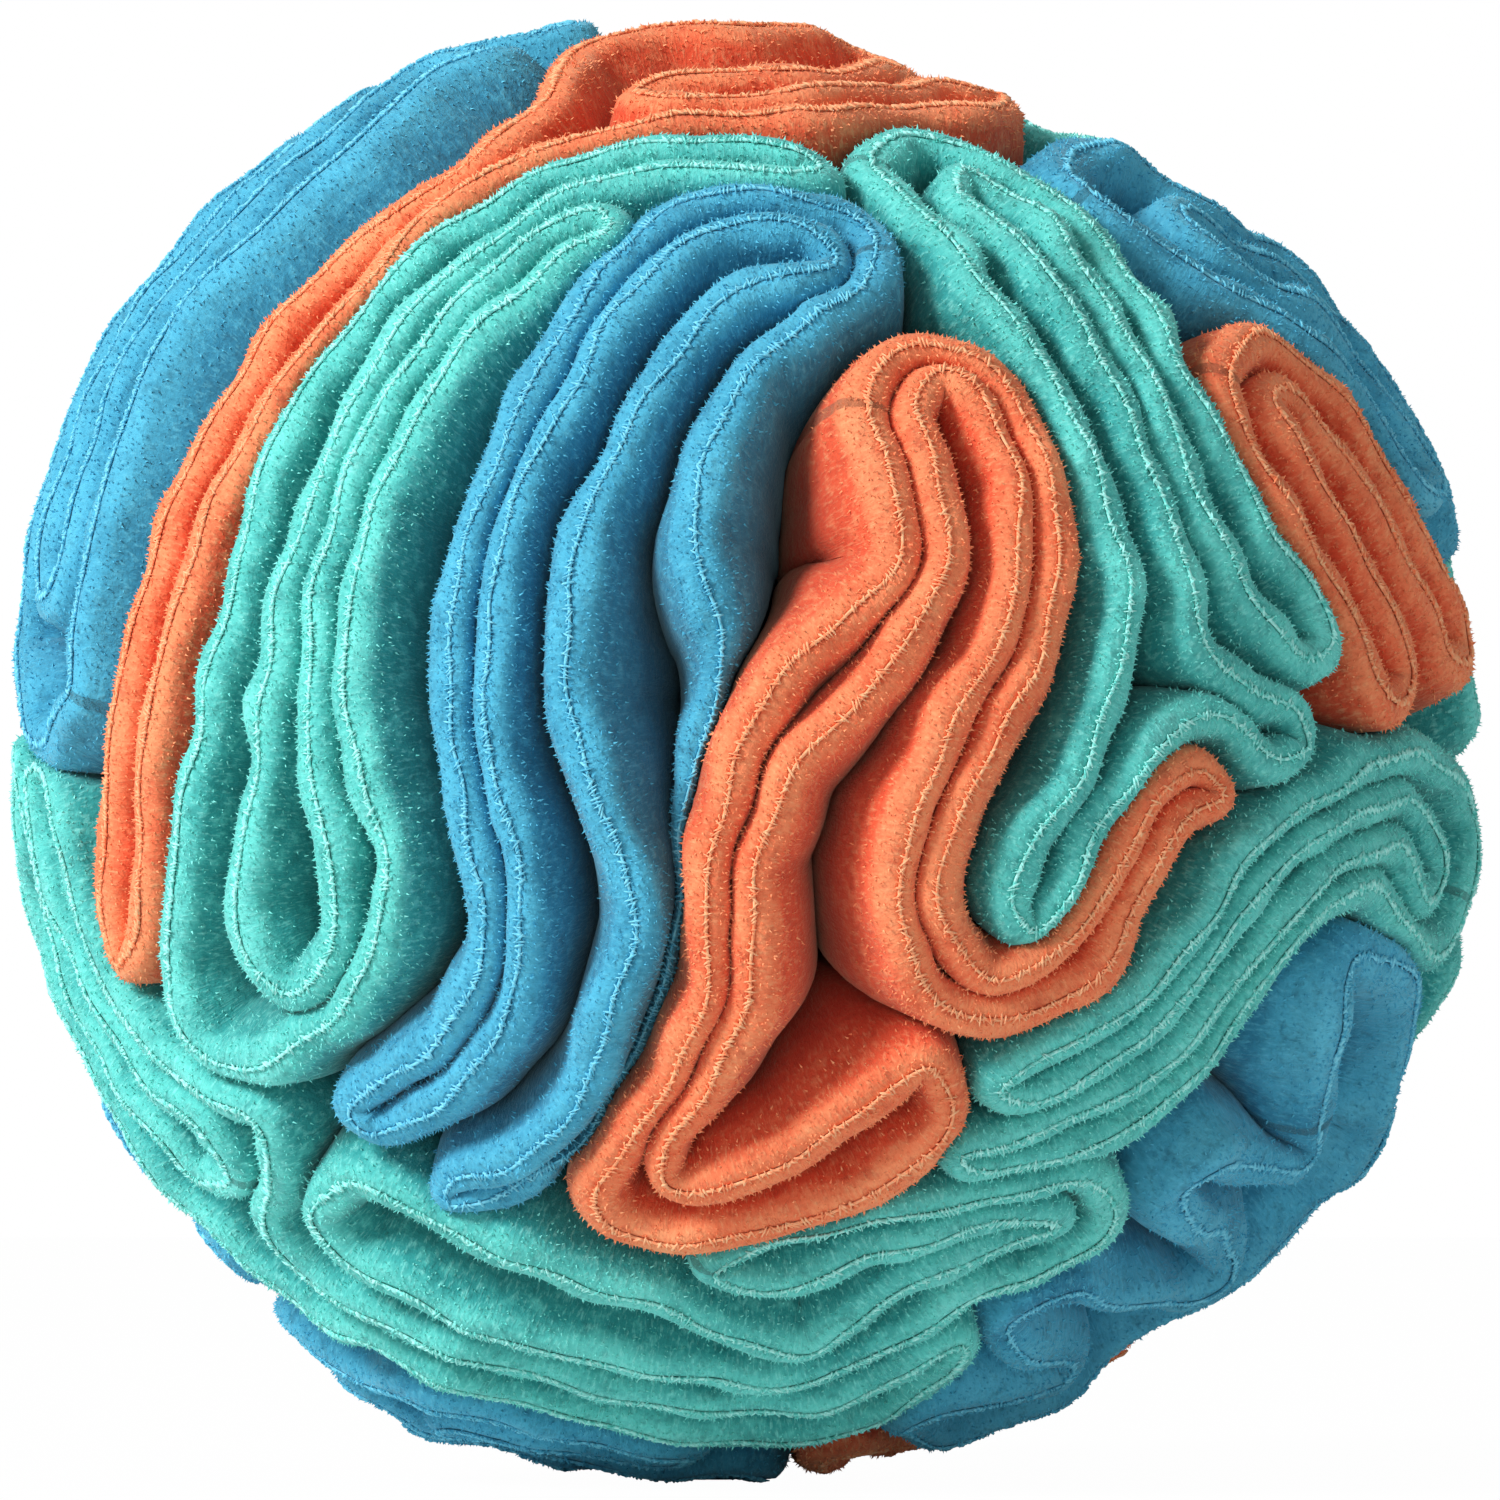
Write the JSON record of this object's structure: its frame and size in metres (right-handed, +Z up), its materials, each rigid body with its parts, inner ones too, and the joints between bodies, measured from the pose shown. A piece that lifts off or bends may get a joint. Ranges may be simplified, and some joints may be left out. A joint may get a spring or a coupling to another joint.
{
  "type": "snuffle ball",
  "caption": "Plush snuffle ball for pets: folded double cloth discs stitched round a small stuffed core, with treat-hiding folds all over its surface.",
  "frame": {"origin": "middle of the bottom of the part's box, on the plane of the small flat foot", "axes": "+Z up, -Y towards the side that the picture shows, +X to that picture's right"},
  "size_m": [0.1598, 0.16, 0.1578],
  "materials": {
    "teal_plush": "short matt velvet pile",
    "blue_plush": "short matt velvet pile",
    "orange_plush": "short matt velvet pile",
    "core_cloth": "short matt velvet pile",
    "core_filling": "matt fibre filling"
  },
  "bodies": {
    "root": {"blue_back_bottom_inner_circle": "blue_plush", "blue_back_bottom_outer_circle": "blue_plush", "blue_back_top_inner_circle": "blue_plush", "blue_back_top_outer_circle": "blue_plush", "blue_bottom_inner_circle": "blue_plush", "blue_bottom_outer_circle": "blue_plush", "blue_centre_inner_circle": "blue_plush", "blue_centre_outer_circle": "blue_plush", "blue_lower_right_inner_circle": "blue_plush", "blue_lower_right_outer_circle": "blue_plush", "blue_side_low_inner_circle": "blue_plush", "blue_side_low_outer_circle": "blue_plush", "blue_top_left_inner_circle": "blue_plush", "blue_top_left_outer_circle": "blue_plush", "blue_top_right_inner_circle": "blue_plush", "blue_top_right_outer_circle": "blue_plush", "core_cover_back": "core_cloth", "core_cover_front": "core_cloth", "core_filling": "core_filling", "orange_back_inner_circle": "orange_plush", "orange_back_outer_circle": "orange_plush", "orange_bottom_inner_circle": "orange_plush", "orange_bottom_outer_circle": "orange_plush", "orange_centre_inner_circle": "orange_plush", "orange_centre_outer_circle": "orange_plush", "orange_right_inner_circle": "orange_plush", "orange_right_outer_circle": "orange_plush", "orange_side_high_inner_circle": "orange_plush", "orange_side_high_outer_circle": "orange_plush", "orange_top_left_inner_circle": "orange_plush", "orange_top_left_outer_circle": "orange_plush", "teal_back_inner_circle": "teal_plush", "teal_back_outer_circle": "teal_plush", "teal_bottom_inner_circle": "teal_plush", "teal_bottom_outer_circle": "teal_plush", "teal_left_inner_circle": "teal_plush", "teal_left_outer_circle": "teal_plush", "teal_lower_left_inner_circle": "teal_plush", "teal_lower_left_outer_circle": "teal_plush", "teal_lower_right_inner_circle": "teal_plush", "teal_lower_right_outer_circle": "teal_plush", "teal_side_high_inner_circle": "teal_plush", "teal_side_high_outer_circle": "teal_plush", "teal_side_low_inner_circle": "teal_plush", "teal_side_low_outer_circle": "teal_plush", "teal_top_inner_circle": "teal_plush", "teal_top_outer_circle": "teal_plush", "teal_upper_right_inner_circle": "teal_plush", "teal_upper_right_outer_circle": "teal_plush"}
  },
  "joints": []
}
